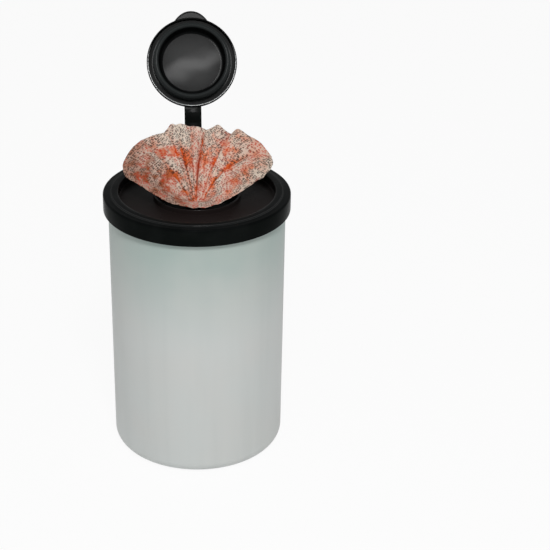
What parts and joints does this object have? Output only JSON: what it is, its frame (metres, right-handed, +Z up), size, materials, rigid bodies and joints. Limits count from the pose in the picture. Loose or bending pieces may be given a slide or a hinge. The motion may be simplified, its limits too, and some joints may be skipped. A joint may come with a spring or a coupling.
{
  "type": "wet wipes tub",
  "caption": "Round plastic tub of wet wipes with a press-on lid, a strap-held flip cap standing open, the roll inside and the next wipe pulled up in a gathered fan.",
  "frame": {"origin": "centre of the tub's base, on the plane it stands on", "axes": "+Z up along the tub's axis, +Y back towards the cap's hinge, -Y the front"},
  "size_m": [0.14, 0.1996, 0.3067],
  "materials": {
    "tub_plastic": "satin, slightly see-through white",
    "lid_plastic": "semi-gloss black",
    "cap_plastic": "semi-gloss black",
    "roll_cloth": "damp nonwoven cloth, pale with a small red print",
    "wipe_cloth": "damp nonwoven cloth, off-white with orange flecks"
  },
  "bodies": {
    "tub_body": {"tub": "tub_plastic", "wipe_roll": "roll_cloth"},
    "lid_body": {"lid": "lid_plastic", "pulled_wipe": "wipe_cloth"},
    "cap_body": {"flip_cap": "cap_plastic"}
  },
  "joints": [
    {"name": "lid_lift", "type": "slide", "parent": "tub_body", "child": "lid_body", "axis": [0, 0, 1], "range_m": [0, 0.06]},
    {"name": "cap_hinge", "type": "hinge", "parent": "lid_body", "child": "cap_body", "pos_m": [0, 0.0715, 0.2089], "axis": [1, 0, 0], "range_deg": [-56, 121], "deforming": ["pulled_wipe"]}
  ]
}
